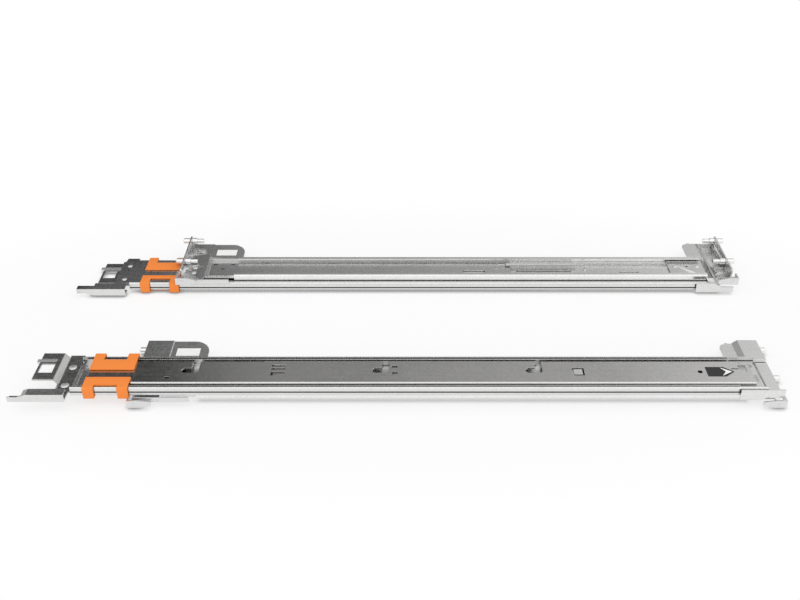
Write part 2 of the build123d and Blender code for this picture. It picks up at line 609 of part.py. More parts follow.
def cable_arm_plate():
    """The stepped plate behind the slide, with a window and a slot for the catch."""
    base_top = TONGUE_TOP + PLATE_GAUGE
    section = folded(
        [(ARM_PLATE_REAR, ARM_PLATE_TOP), (ARM_PLATE_FRONT, ARM_PLATE_TOP),
         (ARM_PLATE_FRONT + ARM_STEP_RUN, base_top), (ARM_BASE_FRONT, base_top)],
        PLATE_GAUGE, ARM_BEND, Side.RIGHT)
    base_low, base_high = (SLIDE_Y + edge for edge in ARM_BASE_SPREAD)
    plate_low, plate_high = (SLIDE_Y + edge for edge in ARM_PLATE_SPREAD)
    plate = extrude(Plane.XZ.offset(-base_high) * section, amount=base_high - base_low)
    step_x = (ARM_PLATE_REAR, ARM_PLATE_FRONT + ARM_STEP_RUN)
    z = (TONGUE_TOP, ARM_PLATE_TOP)
    plate -= box(step_x, (base_low, plate_low), z)
    plate -= box(step_x, (plate_high, base_high), z)
    window_x = (ARM_PLATE_REAR + ARM_WINDOW_RIM, ARM_PLATE_REAR + ARM_WINDOW_RIM + ARM_WINDOW_LENGTH)
    plate -= box(window_x, [SLIDE_Y + edge for edge in ARM_WINDOW_SPREAD], z)
    slot_x = (ARM_PLATE_REAR, ARM_PLATE_REAR + CATCH_SLOT)
    slot_half = CATCH_WIDTH / 2 + CATCH_GAP
    return plate - box(slot_x, (CATCH_Y - slot_half, CATCH_Y + slot_half), z)


def cable_arm_hook():
    """The folded hook at the near rear corner, which the cable arm latches to."""
    low = OUTER_WEB_TOP
    wide_rear = HOOK_FRONT - HOOK_WIDE
    points = [
        (SLIDE_Y - OUTER_WALL_IN + TONGUE_MARGIN - HOOK_TONGUE_GAP, low), (HOOK_WALL_Y, low),
        (HOOK_WALL_Y, ARM_PLATE_TOP), (HOOK_WALL_Y + HOOK_TOP_LIP, ARM_PLATE_TOP),
    ]
    hook = rolled(points, PLATE_GAUGE, 0, (RAIL_REAR, HOOK_FRONT), Side.RIGHT)
    hook -= box((RAIL_REAR, wide_rear), (HOOK_WALL_Y + HOOK_TIP_LIP, points[0][0]), (low, TONGUE_TOP))
    above_tip = [
        (RAIL_REAR, low + HOOK_TIP_HEIGHT), (wide_rear - HOOK_TAPER, low + HOOK_TIP_HEIGHT),
        (wide_rear, ARM_PLATE_TOP), (RAIL_REAR, ARM_PLATE_TOP),
    ]
    return hook - upright(above_tip, HOOK_WALL_Y, HOOK_TOP_LIP)


def cable_arm_catch():
    """The spring leaf under the stepped plate, with its head lying in the slot."""
    leaf_high = ARM_PLATE_TOP - PLATE_GAUGE - LEAF_GAP
    leaf_y = (CATCH_Y - CATCH_WIDTH / 2, CATCH_Y + CATCH_WIDTH / 2)
    rear = ARM_PLATE_REAR - CATCH_OVERHANG
    slot_end = ARM_PLATE_REAR + CATCH_SLOT
    leaf = box((rear, slot_end + CATCH_ROOT), leaf_y, (leaf_high - CATCH_GAUGE, leaf_high))
    return leaf + box((rear, slot_end - CATCH_GAP), leaf_y, (leaf_high, ARM_PLATE_TOP))


def clip(near):
    """A transport clip: a bar with two legs round the rail's edge, and a grip on the rack side."""
    out = -1 if near else 1
    wall_in = SLIDE_Y + out * (OUTER_HALF + CLIP_GAP)
    skin = wall_in + out * CLIP_WALL
    inner_edge = SLIDE_Y - LOWER_CLIP_REACH if near else SLIDE_Y + UPPER_CLIP_REACH
    bar_edge = SLIDE_Y + out * (OUTER_HALF - CLIP_BAR_INSET)
    z_front = OUTER_TOP + CLIP_GAP
    z_back = OUTER_BACK - CLIP_GAP
    legs = outline((CLIP_REAR, CLIP_REAR + CLIP_LEG), sorted((inner_edge, skin)))
    legs += outline((CLIP_FRONT - CLIP_LEG, CLIP_FRONT), sorted((inner_edge, skin)))
    plan = legs + outline((CLIP_REAR, CLIP_FRONT), sorted((inner_edge, bar_edge)))
    walls = legs & outline((CLIP_REAR, CLIP_FRONT), sorted((wall_in, skin)))
    body = sheet(plan, z_front, CLIP_THICK) + sheet(plan, z_back - CLIP_BACK_THICK, CLIP_BACK_THICK)
    body += sheet(walls, z_back, z_front - z_back)
    corners = body.edges().filter_by(Axis.X).group_by(Axis.Z)[-1].group_by(Axis.Y)[0 if near else -1]
    return chamfer(corners, CLIP_BEVEL)


def rail_pieces():
    """All pieces of the right rail, by name."""
    return {
        "outer_member": outer_member(),
        "guide_channel": guide_channel(),
        "front_bracket": front_bracket(),
        "front_pins": rack_pins(0, True),
        "front_latch": front_latch(),
        "front_latch_pin": latch_pin(-LATCH_PIVOT_BACK),
        "cable_arm_plate": cable_arm_plate(),
        "cable_arm_hook": cable_arm_hook(),
        "cable_arm_catch": cable_arm_catch(),
        "rear_extension": rear_extension(),
        "rear_bracket": rear_bracket(),
        "rear_pins": rack_pins(REAR_FACE, False),
        "rear_latch": rear_latch(),
        "rear_latch_pin": latch_pin(REAR_FACE + LATCH_PIVOT_BACK),
        "rear_labels": rear_labels(),
        "depth_spring": depth_spring(),
        "intermediate_member": intermediate_member(),
        "outer_ball_cage": cage(OUTER_CAGE_REAR, OUTER_ROW, OUTER_BALL_Z),
        "outer_balls": balls(OUTER_CAGE_REAR, OUTER_ROW, OUTER_BALL_Z),
        "inner_ball_cage": cage(INNER_CAGE_REAR, INNER_ROW, INNER_BALL_Z),
        "inner_balls": balls(INNER_CAGE_REAR, INNER_ROW, INNER_BALL_Z),
        "inner_member": inner_member(),
        "inner_lock": inner_lock(),
        "arrow_label": arrow_label(),
        "upper_clip": clip(False),
        "lower_clip": clip(True),
    }


def placed_left(piece):
    """The left rail's piece: mirrored, shifted and lifted onto its clips."""
    return Pos(X_SHIFT + LEFT_RAIL_SHIFT, Y_SHIFT + LEFT_RAIL_PITCH, LEFT_TOP) * mirror(piece, Plane.XY)


def placed_right(piece):
    """The right rail's piece, moved to its place in the pair."""
    return Pos(X_SHIFT, Y_SHIFT) * piece


def write(name, pieces, place):
    """Write one node, as one solid or as a group of separate solids."""
    solids = []
    for piece in pieces if isinstance(pieces, list) else [pieces]:
        solids.extend(place(piece).solids())
    export_step(solids[0] if len(solids) == 1 else Compound(children=solids), f"parts/{name}.step")


def main():
    os.makedirs("parts", exist_ok=True)
    for name, pieces in rail_pieces().items():
        write(f"{name}_right", pieces, placed_right)
        write(f"{name}_left", pieces, placed_left)


main()
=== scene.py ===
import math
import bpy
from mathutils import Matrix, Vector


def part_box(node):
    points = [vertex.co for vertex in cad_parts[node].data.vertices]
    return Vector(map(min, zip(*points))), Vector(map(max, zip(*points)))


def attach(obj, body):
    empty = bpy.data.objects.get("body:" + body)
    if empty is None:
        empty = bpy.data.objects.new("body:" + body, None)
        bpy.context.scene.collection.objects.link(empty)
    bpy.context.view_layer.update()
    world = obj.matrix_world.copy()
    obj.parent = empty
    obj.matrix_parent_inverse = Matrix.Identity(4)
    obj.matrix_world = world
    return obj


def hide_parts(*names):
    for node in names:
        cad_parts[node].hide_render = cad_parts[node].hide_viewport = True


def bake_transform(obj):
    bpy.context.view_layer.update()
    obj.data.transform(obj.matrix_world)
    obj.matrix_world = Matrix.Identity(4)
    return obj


bl_info = {
    "name": "Sliding Server Rails",
    "version": (1, 0, 0),
    "blender": (4, 5, 0),
    "location": "View3D > Sidebar > Server Rails",
    "description": "Dresses a pair of sliding server rails with zinc, rivets, pins and springs",
    "category": "Object",
}

import bmesh
import bpy
from bpy.props import FloatProperty, FloatVectorProperty, IntProperty, PointerProperty
from mathutils import Matrix, Vector

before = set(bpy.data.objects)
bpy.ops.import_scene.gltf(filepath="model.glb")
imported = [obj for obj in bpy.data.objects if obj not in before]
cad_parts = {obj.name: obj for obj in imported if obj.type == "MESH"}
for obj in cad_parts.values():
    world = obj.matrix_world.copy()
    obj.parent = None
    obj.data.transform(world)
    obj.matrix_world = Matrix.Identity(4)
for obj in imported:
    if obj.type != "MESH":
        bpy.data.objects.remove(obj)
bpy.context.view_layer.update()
SIDES = ("right", "left")
MM = 0.001

# Places in a rail's own frame, in millimetres: x forward from the front flange's face, y up the
# mounted rail, and z from the rack side to the server side. All outlines below are in this frame.
FRONT_FACE = 0.0
REAR_FACE = -599.0
FLANGE_GAUGE = 1.5
PIN_YS = (35.65, 80.1)
PIN_Z = 4.4
OUTER_LOW_Y = 1.0

# Angles in degrees above which an edge stays sharp
SHEET_ANGLE = 25
CUT_ANGLE = 30
PIECE_ANGLE = 40
COIL_ANGLE = 80
BALL_ANGLE = 180


def rail_matrix(side):
    """From a rail's own frame, in millimetres, to the row frame, in metres."""
    bracket_low, bracket_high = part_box(f"front_bracket_{side}")
    outer_low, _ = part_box(f"outer_member_{side}")
    base_z, up = (bracket_low.z, 1) if side == "right" else (bracket_high.z, -1)
    shift = Matrix.Translation((bracket_high.x, outer_low.y - OUTER_LOW_Y * MM, base_z))
    return shift @ Matrix.Diagonal((MM, MM, up * MM, 1))


def bracket_body(end, side):
    """The body of a bracket: the front one is fixed, and the rear one slides."""
    return "fixed_rails" if end == "front" else f"rear_slide_{side}"


def colour(label, text, default):
    """A colour setting with its default."""
    return FloatVectorProperty(name=label, description=text, subtype="COLOR", size=3, min=0,
                               max=1, default=default)


def share(label, text, default):
    """A setting from nought to one."""
    return FloatProperty(name=label, description=text, subtype="FACTOR", min=0, max=1,
                         default=default)


def length(label, text, default):
    """A length setting in millimetres."""
    return FloatProperty(name=label, description=text, default=default, min=0.01, unit="NONE")


def place(label, text, default):
    """A place setting in metres."""
    return FloatProperty(name=label, description=text, default=default, unit="LENGTH")


class RailFinishes(bpy.types.PropertyGroup):
    """Colours and gloss of the rails' finishes."""

    zinc: colour("Zinc", "Plated sheet of the channels", (0.74, 0.74, 0.735))
    guide_zinc: colour("Guide Zinc", "Plated sheet of the guide channels", (0.88, 0.88, 0.875))
    bracket_zinc: colour("Bracket Zinc", "Plated sheet of the brackets", (0.76, 0.76, 0.755))
    inner_zinc: colour("Inner Zinc", "Plated sheet of the server's member", (0.68, 0.675, 0.66))
    # Bright steel is also the painted highlight on the brackets' folds and on the front stops' rims
    bright: colour("Bright Steel", "Latches, folds, rivets and springs", (0.88, 0.88, 0.87))
    pins: colour("Pins", "Polished rack pins", (0.85, 0.85, 0.845))
    # Dark steel is also the painted shade in the brackets' grooves and steps and on the front
    # stops' faces
    dark: colour("Dark Steel", "Cable-arm plate, ball cages and steps", (0.55, 0.55, 0.545))
    balls: colour("Balls", "Polished bearing balls", (0.75, 0.75, 0.76))
    orange: colour("Orange", "Moulded transport clips", (0.78, 0.15, 0.006))
    paper: colour("Paper", "Blank labels", (0.92, 0.92, 0.91))
    print_black: colour("Print Black", "Ground of the arrow label", (0.02, 0.02, 0.021))
    roughness: share("Roughness", "Roughness of the plated sheet", 0.27)
    spangle: share("Spangle", "Contrast of the zinc's crystals", 0.14)
    spangle_size: length("Spangle Size", "Width of one zinc crystal in millimetres", 2.2)


class PinSizes(bpy.types.PropertyGroup):
    """Sizes of the rack pins, in millimetres."""

    nose: length("Nose", "Radius of the pin's nose", 3.3)
    reach: length("Reach", "How far the pin stands out of the flange", 9.0)
    bevel: length("Bevel", "Bevel at the pin's tip", 1.3)
    collar: length("Collar", "Radius of the collar behind the flange", 3.6)
    collar_length: length("Collar Length", "Length of the collar behind the flange", 6.0)
    tail: length("Tail", "Radius of the pin's tail", 2.6)
    tail_length: length("Tail Length", "Length of the pin behind the flange's face", 15.0)


class RivetSizes(bpy.types.PropertyGroup):
    """Sizes of the rivet heads, in millimetres."""

    small: length("Small Head", "Radius of a bracket's rivet head", 2.6)
    large: length("Large Head", "Radius of a cable-arm rivet head", 3.8)
    height: length("Height", "How far a head stands proud", 0.9)


class SpringSizes(bpy.types.PropertyGroup):
    """Sizes of the depth spring, in millimetres."""

    wire: length("Wire", "Diameter of the wire", 0.7)
    radius: length("Radius", "Outer radius of the coil", 2.0)
    turns: IntProperty(name="Turns", description="Turns of the coil", default=104, min=3)


class StageSettings(bpy.types.PropertyGroup):
    """Floor and camera of the stage."""

    floor: colour("Floor", "Colour of the floor", (0.97, 0.97, 0.97))
    camera_x: place("Camera X", "Camera across the rails", -0.0035)
    camera_y: place("Camera Y", "Camera in front of the rails", -0.83)
    camera_z: place("Camera Z", "Camera above the floor", 0.578)
    pitch: FloatProperty(name="Pitch", description="How far the camera looks down",
                         default=math.radians(33.5), unit="ROTATION")
    lens: FloatProperty(name="Lens", description="Focal length in millimetres on a 36 mm sensor",
                        default=43.95, min=10)


def bare_material(name):
    """A new material, with its nodes, its links and its shader."""
    material = bpy.data.materials.new(name)
    material.use_nodes = True
    nodes = material.node_tree.nodes
    return material, nodes, material.node_tree.links, nodes["Principled BSDF"]


def noise(nodes, links, where, scale, detail=2):
    """A noise texture over a surface."""
    texture = nodes.new("ShaderNodeTexNoise")
    texture.inputs["Scale"].default_value = scale
    texture.inputs["Detail"].default_value = detail
    links.new(where, texture.inputs["Vector"])
    return texture.outputs["Fac"]


def mixed(nodes, links, first, second, amount):
    """The mean of two textures, with an amount for the second."""
    mix = nodes.new("ShaderNodeMix")
    mix.inputs["Factor"].default_value = amount
    links.new(first, mix.inputs["A"])
    links.new(second, mix.inputs["B"])
    return mix.outputs["Result"]


def combined(nodes, links, operation, first, second):
    """Two values put together by one operation."""
    step = nodes.new("ShaderNodeMath")
    step.operation = operation
    for index, value in enumerate((first, second)):
        if isinstance(value, float):
            step.inputs[index].default_value = value
        else:
            links.new(value, step.inputs[index])
    return step.outputs["Value"]


def ranged(nodes, links, value, source, target, curve="LINEAR"):
    """A value mapped from one range to another, and held at its ends."""
    step = nodes.new("ShaderNodeMapRange")
    step.interpolation_type = curve
    step.inputs["From Min"].default_value, step.inputs["From Max"].default_value = source
    step.inputs["To Min"].default_value, step.inputs["To Max"].default_value = target
    links.new(value, step.inputs["Value"])
    return step.outputs["Result"]


def faded(nodes, links, value, source, target):
    """A value mapped smoothly from one range to another, and held at its ends."""
    return ranged(nodes, links, value, source, target, "SMOOTHSTEP")


def painted(nodes, links, shader, base, level):
    """Give a shader its colour, brighter or darker by a level."""
    paint = nodes.new("ShaderNodeVectorMath")
    paint.operation = "SCALE"
    paint.inputs[0].default_value = base
    links.new(level, paint.inputs["Scale"])
    links.new(paint.outputs["Vector"], shader.inputs["Base Color"])


def grained(nodes, links, shader, height, strength, depth):
    """Give a shader a fine relief, which is also handed back."""
    relief = nodes.new("ShaderNodeBump")
    relief.inputs["Strength"].default_value = strength
    relief.inputs["Distance"].default_value = depth
    links.new(height, relief.inputs["Height"])
    links.new(relief.outputs["Normal"], shader.inputs["Normal"])
    return relief


# Rounding of the sheet's cut edges, and how far the painted shade of a crevice reaches into the
# sheet, in millimetres
EDGE_RADIUS = 0.4
CREVICE_REACH = 3.0

# How open a crevice is where its painted shade is darkest and where the sheet is left plain, and
# how dark the painted shade gets
CREVICE_OPENING = (0.3, 0.75)
CREVICE_SHADE = 0.4

# Levels above the floor of the outer members' ball races, in millimetres: right rail, and left rail
# turned over. The painted shade of each race's groove is a dark line, which fades out between two
# distances from the middle of the race.
OUTER_RACES = (15.8, 5.7)
RACE_FADE = (0.5, 1.05)
RACE_SHADE = 0.06

# Textures of the sheet, as repeats to the metre: rolling streaks along x, y and z, and clouds
STREAK_SCALE = (14, 900, 900)
CLOUD_SCALE = 22

# Share of the streaks over the crystals, and of the clouds over both
STREAK_SHARE = 0.6
CLOUD_SHARE = 0.35

# How much smoother and rougher than its mean the sheet gets, and the strength of its grain with
# its depth in metres
SHEET_GLOSS = (-0.08, 0.1)
SHEET_GRAIN = (0.06, 0.0002)


def sheet_steel(name, base, roughness, spangle, size_mm, races=()):
    """Zinc-plated sheet: faint crystals, rolling streaks along the rail and a grain in the gloss.

    The levels in races are those of ball races, where the shade of the rolled groove is painted as
    a dark line.
    """
    material, nodes, links, shader = bare_material(name)
    shader.inputs["Metallic"].default_value = 1.0
    where = nodes.new("ShaderNodeTexCoord").outputs["Object"]
    crystals = nodes.new("ShaderNodeTexVoronoi")
    crystals.inputs["Scale"].default_value = 1 / (size_mm * MM)
    links.new(where, crystals.inputs["Vector"])
    stretch = nodes.new("ShaderNodeMapping")
    stretch.inputs["Scale"].default_value = STREAK_SCALE
    links.new(where, stretch.inputs["Vector"])
    streaks = noise(nodes, links, stretch.outputs["Vector"], 1, 4)
    clouds = noise(nodes, links, where, CLOUD_SCALE, 3)
    tone = mixed(nodes, links, crystals.outputs["Color"], streaks, STREAK_SHARE)
    tone = mixed(nodes, links, tone, clouds, CLOUD_SHARE)
    level = ranged(nodes, links, tone, (0, 1), (1 - spangle, 1 + spangle))
    # Painted shade in the sheet's narrow gaps and under its folds
    level = combined(nodes, links, "MULTIPLY", level, painted_crevice_shade(nodes, links))
    # Painted shade along the groove of each ball race
    for race in races:
        line = painted_race_shade(nodes, links, where, race)
        level = combined(nodes, links, "MULTIPLY", level, line)
    painted(nodes, links, shader, base, level)
    gloss = ranged(nodes, links, tone, (0, 1), [roughness + change for change in SHEET_GLOSS])
    links.new(gloss, shader.inputs["Roughness"])
    edges = nodes.new("ShaderNodeBevel")
    edges.samples = 4
    edges.inputs["Radius"].default_value = EDGE_RADIUS * MM
    relief = grained(nodes, links, shader, streaks, *SHEET_GRAIN)
    links.new(edges.outputs["Normal"], relief.inputs["Normal"])
    return material


def painted_race_shade(nodes, links, where, level):
    """Painted shade of a ball race's groove: one away from the race, and low along the middle of
    the groove.
    """
    split = nodes.new("ShaderNodeSeparateXYZ")
    links.new(where, split.inputs["Vector"])
    off = combined(nodes, links, "SUBTRACT", split.outputs["Z"], level * MM)
    off = combined(nodes, links, "ABSOLUTE", off, 0.0)
    return faded(nodes, links, off, [edge * MM for edge in RACE_FADE], (RACE_SHADE, 1))


def painted_crevice_shade(nodes, links):
    """Painted shade of the sheet: one in the open, and less in races and under folds."""
    hollow = nodes.new("ShaderNodeAmbientOcclusion")
    hollow.samples = 6
    hollow.inputs["Distance"].default_value = CREVICE_REACH * MM
    return ranged(nodes, links, hollow.outputs["AO"], CREVICE_OPENING, (CREVICE_SHADE, 1))


# Textures of plastic and paper, as repeats to the metre, and the depth of the skin in metres
MOTTLE_SCALE = 90
SKIN_SCALE = 1800
SKIN_DEPTH = 0.0001

# How far the mottle moves the colour, and how far it moves the gloss
MOTTLE_LEVELS = (0.93, 1.06)
MOTTLE_GLOSS = (-0.06, 0.06)


def moulded(name, base, roughness, strength):
    """Moulded plastic or coated paper: a faint mottle in colour and gloss, and a fine skin."""
    material, nodes, links, shader = bare_material(name)
    shader.inputs["Specular IOR Level"].default_value = 0.35
    where = nodes.new("ShaderNodeTexCoord").outputs["Object"]
    mottle = noise(nodes, links, where, MOTTLE_SCALE, 5)
    painted(nodes, links, shader, base, ranged(nodes, links, mottle, (0, 1), MOTTLE_LEVELS))
    gloss = ranged(nodes, links, mottle, (0, 1), [roughness + change for change in MOTTLE_GLOSS])
    links.new(gloss, shader.inputs["Roughness"])
    grained(nodes, links, shader, noise(nodes, links, where, SKIN_SCALE), strength, SKIN_DEPTH)
    return material


def finish(name):
    """One of the part's finishes, made on first use."""
    if name in bpy.data.materials:
        return bpy.data.materials[name]
    look = bpy.context.scene.rail_finishes
    # Colour, roughness and contrast of the crystals of each metal
    steel = {
        "zinc_sheet": (look.zinc, look.roughness, look.spangle),
        "outer_zinc_sheet": (look.zinc, look.roughness, look.spangle),
        "guide_zinc_sheet": (look.guide_zinc, look.roughness, look.spangle),
        "bracket_zinc_sheet": (look.bracket_zinc, look.roughness, look.spangle),
        "inner_zinc_sheet": (look.inner_zinc, look.roughness - 0.06, look.spangle),
        "bright_steel": (look.bright, look.roughness - 0.05, 0.06),
        "dark_zinc_and_painted_shade": (look.dark, look.roughness, look.spangle),
        "polished_balls": (look.balls, 0.12, 0.02),
        "polished_pins": (look.pins, 0.2, 0.03),
    }
    if name in steel:
        base, roughness, spangle = steel[name]
        races = OUTER_RACES if name == "outer_zinc_sheet" else ()
        return sheet_steel(name, tuple(base), roughness, spangle, look.spangle_size, races)
    # Colour, roughness and strength of the skin of the plastic and the papers
    plastic = {
        "orange_plastic": (look.orange, 0.42, 0.1),
        "label_paper": (look.paper, 0.6, 0.12),
        "label_black": (look.print_black, 0.35, 0.05),
    }
    base, roughness, strength = plastic[name]
    return moulded(name, tuple(base), roughness, strength)


def ring(bm, centre, across, third, radius, sides):
    """Corners evenly round a centre, in the plane of two directions."""
    turns = [2 * math.pi * step / sides for step in range(sides)]
    return [bm.verts.new(centre + (across * math.cos(turn) + third * math.sin(turn)) * radius)
            for turn in turns]


def turned(bm, profile, origin, axis, sides=32):
    """A turned piece: a profile of (distance along the axis, radius) spun round the axis."""
    along = Vector(axis).normalized()
    across = along.orthogonal().normalized()
    third = along.cross(across)
    rings = []
    for distance, radius in profile:
        centre = Vector(origin) + along * distance
        rings.append(ring(bm, centre, across, third, radius, sides if radius else 1))
    for first, second in zip(rings, rings[1:]):
        for step in range(sides):
            after = (step + 1) % sides
            corners = [first[step % len(first)], first[after % len(first)],
                       second[after % len(second)], second[step % len(second)]]
            bm.faces.new(list(dict.fromkeys(corners)))


def wire(bm, points, radius, sides=6):
    """A round wire along a line of points."""
    points = [Vector(point) for point in points]
    across = (points[1] - points[0]).orthogonal().normalized()
    rings = []
    for index, point in enumerate(points):
        before, after = points[max(index - 1, 0)], points[min(index + 1, len(points) - 1)]
        ahead = (after - before).normalized()
        across = (across - ahead * across.dot(ahead)).normalized()
        rings.append(ring(bm, point, across, ahead.cross(across), radius, sides))
    for first, second in zip(rings, rings[1:]):
        for step in range(sides):
            after = (step + 1) % sides
            bm.faces.new((first[step], first[after], second[after], second[step]))
    bm.faces.new(rings[0])
    bm.faces.new(rings[-1])


def walled(bm, first, second):
    """A closed form between two outlines with as many corners."""
    ends = [[bm.verts.new(point) for point in outline] for outline in (first, second)]
    for end in ends:
        bm.faces.new(end)
    for step in range(len(first)):
        after = (step + 1) % len(first)
        bm.faces.new((ends[0][step], ends[0][after], ends[1][after], ends[1][step]))


def plate(bm, outline, low, high):
    """A flat plate with an outline in x and y, between two levels."""
    walled(bm, [(x, y, low) for x, y in outline], [(x, y, high) for x, y in outline])


def bar(bm, profile, low, high):
    """A bar with a profile in x and z, between two places along y."""
    walled(bm, [(x, low, z) for x, z in profile], [(x, high, z) for x, z in profile])


def raised(bm, x, y, low, high, run):
    """A pressed form with sloping sides in a pan: its top is drawn in from its foot by the run."""
    foot = rectangle(x, y)
    top = [(x[0] + run, y[0] + PRESS_SLOPE), (x[1], y[0] + PRESS_SLOPE),
           (x[1], y[1] - PRESS_SLOPE), (x[0] + run, y[1] - PRESS_SLOPE)]
    walled(bm, [(*point, low) for point in foot], [(*point, high) for point in top])


def rectangle(x, y):
    """The corners of a rectangle, from its reach in x and in y."""
    return [(x[0], y[0]), (x[1], y[0]), (x[1], y[1]), (x[0], y[1])]


def placed(name, bm, material, sharp):
    """Finish a piece drawn in the row frame and put it in the scene."""
    bmesh.ops.recalc_face_normals(bm, faces=bm.faces)
    mesh = bpy.data.meshes.new(name)
    bm.to_mesh(mesh)
    bm.free()
    mesh.materials.append(finish(material))
    mesh.shade_smooth()
    mesh.set_sharp_from_angle(angle=math.radians(sharp))
    obj = bpy.data.objects.new(name, mesh)
    bpy.context.scene.collection.objects.link(obj)
    return obj


def piece(name, bm, side, material, sharp=PIECE_ANGLE):
    """Finish a piece drawn in a rail's own frame and put it in the scene."""
    bmesh.ops.transform(bm, matrix=rail_matrix(side), verts=bm.verts)
    return placed(name, bm, material, sharp)


def dressed(node, side, bm, material):
    """A piece that stands for a CAD node, made from a changed copy of its mesh."""
    obj = placed(f"{node}_shaped_{side}", bm, material, CUT_ANGLE)
    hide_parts(f"{node}_{side}")
    return obj


def node_copy(name):
    """The mesh of a CAD node, welded, in a new bmesh."""
    bm = bmesh.new()
    bm.from_mesh(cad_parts[name].data)
    bmesh.ops.remove_doubles(bm, verts=bm.verts, dist=1e-6)
    return bm


def cut(bm, tools, side):
    """Cut holes drawn in a rail's own frame out of a mesh in the row frame."""
    bmesh.ops.transform(tools, matrix=rail_matrix(side), verts=tools.verts)
    bmesh.ops.recalc_face_normals(tools, faces=tools.faces)
    scratch = []
    for name, form in (("cut_body", bm), ("cut_tool", tools)):
        mesh = bpy.data.meshes.new(name)
        form.to_mesh(mesh)
        form.free()
        scratch.append(bpy.data.objects.new(name, mesh))
        bpy.context.scene.collection.objects.link(scratch[-1])
    holes = scratch[0].modifiers.new("holes", "BOOLEAN")
    holes.operation = "DIFFERENCE"
    holes.solver = "EXACT"
    holes.object = scratch[1]
    result = bmesh.new()
    result.from_object(scratch[0], bpy.context.evaluated_depsgraph_get())
    for obj in scratch:
        mesh = obj.data
        bpy.data.objects.remove(obj)
        bpy.data.meshes.remove(mesh)
    return result


# Finish of each CAD node
NODE_FINISHES = {
    "outer_member": "outer_zinc_sheet", "guide_channel": "guide_zinc_sheet",
    "front_bracket": "bracket_zinc_sheet", "rear_bracket": "bracket_zinc_sheet",
    "rear_extension": "zinc_sheet", "intermediate_member": "zinc_sheet",
    "front_latch": "bright_steel", "rear_latch": "bright_steel", "cable_arm_hook": "zinc_sheet",
    "inner_member": "inner_zinc_sheet", "cable_arm_plate": "dark_zinc_and_painted_shade",
    "cable_arm_catch": "bright_steel", "inner_lock": "bright_steel", "front_pins": "bright_steel",
    "rear_pins": "bright_steel", "front_latch_pin": "bright_steel",
    "rear_latch_pin": "bright_steel", "depth_spring": "bright_steel",
    "outer_ball_cage": "dark_zinc_and_painted_shade", "inner_ball_cage": "dark_zinc_and_painted_shade",
    "outer_balls": "polished_balls", "inner_balls": "polished_balls",
    "rear_labels": "label_paper", "arrow_label": "label_black",
    "upper_clip": "orange_plastic", "lower_clip": "orange_plastic",
}


class RAILS_OT_finish_sheet(bpy.types.Operator):
    """Give every piece of the CAD model its plated, moulded or printed finish"""

    bl_idname = "rails.finish_sheet"
    bl_label = "Finish the Rails"

    def execute(self, context):
        for name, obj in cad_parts.items():
            node = name.rsplit("_", 1)[0]
            for material_slot in obj.material_slots:
                material_slot.material = finish(NODE_FINISHES[node])
        return {"FINISHED"}


# Pockets pressed into the rack side of the brackets' pans, each as its reach in x, y and z
FRONT_POCKET_Z = (9.0, 10.6)
REAR_POCKET_Z = (6.0, 7.8)
TAB_POCKET_Z = (10.5, 12.6)
FRONT_POCKETS = (
    ((-22.0, -3.0), (52.2, 82.0), (9.0, 11.5)), ((-15.0, -2.5), (21.5, 31.5), FRONT_POCKET_Z),
    ((-16.0, -3.0), (3.0, 9.0), FRONT_POCKET_Z), ((-13.0, -2.5), (40.0, 48.0), FRONT_POCKET_Z),
    ((-33.0, -29.5), (9.5, 11.0), (7.8, 9.0)), ((-29.0, -1.6), (82.6, 86.0), (4.0, 12.0)),
)
REAR_POCKETS = (
    ((-596.0, -589.0), (26.0, 32.0), REAR_POCKET_Z),
    ((-585.0, -576.5), (26.5, 29.0), REAR_POCKET_Z),
    ((-594.5, -588.0), (17.0, 22.0), REAR_POCKET_Z),
    ((-596.5, -591.0), (40.0, 50.0), REAR_POCKET_Z),
    ((-597.0, -593.0), (66.0, 72.0), TAB_POCKET_Z), ((-591.0, -587.0), (64.0, 71.0), TAB_POCKET_Z),
)

# Small round holes: middle, radius and reach in z
FRONT_HOLES = ((-44.5, 31.0, 1.2, (7.8, 10.3)), (-44.0, 12.5, 1.2, (7.8, 10.3)))
REAR_HOLES = ((-579.0, 40.0, 1.5, (6.0, 9.0)), (-581.0, 10.5, 1.5, (6.0, 9.0)))
HOLE_SIDES = 16

# What is trimmed off the ends of the grips, as outlines in x and y, and its reach in z
FRONT_TRIM = ((-46, 52), (-37.6, 52), (-38.4, 57), (-38.4, 76), (-37.4, 79), (-35, 81.3),
              (-32, 82.2), (-32, 85), (-46, 85))
REAR_TRIM = ((-529, 52), (-537.5, 52), (-536.6, 58), (-536.8, 68), (-538, 73), (-541, 78),
             (-546, 82), (-552, 84.2), (-552, 88), (-529, 88))
TRIM_Z = (5.0, 15.0)

BRACKET_CUTS = {
    "front": (FRONT_POCKETS, FRONT_HOLES, FRONT_TRIM),
    "rear": (REAR_POCKETS, REAR_HOLES, REAR_TRIM),
}


class RAILS_OT_brackets(bpy.types.Operator):
    """Press the pockets, drill the small holes and round the grips of the brackets"""

    bl_idname = "rails.brackets"
    bl_label = "Brackets"

    def execute(self, context):
        for side in SIDES:
            for end, (pockets, holes, trim) in BRACKET_CUTS.items():
                tools = bmesh.new()
                plate(tools, trim, *TRIM_Z)
                for x, y, z in pockets:
                    plate(tools, rectangle(x, y), *z)
                for x, y, radius, (low, high) in holes:
                    drill = ((0, 0), (0, radius), (high - low, radius), (high - low, 0))
                    turned(tools, drill, (x, y, low), (0, 0, 1), HOLE_SIDES)
                bm = cut(node_copy(f"{end}_bracket_{side}"), tools, side)
                bracket = dressed(f"{end}_bracket", side, bm, "bracket_zinc_sheet")
                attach(bracket, bracket_body(end, side))
        return {"FINISHED"}


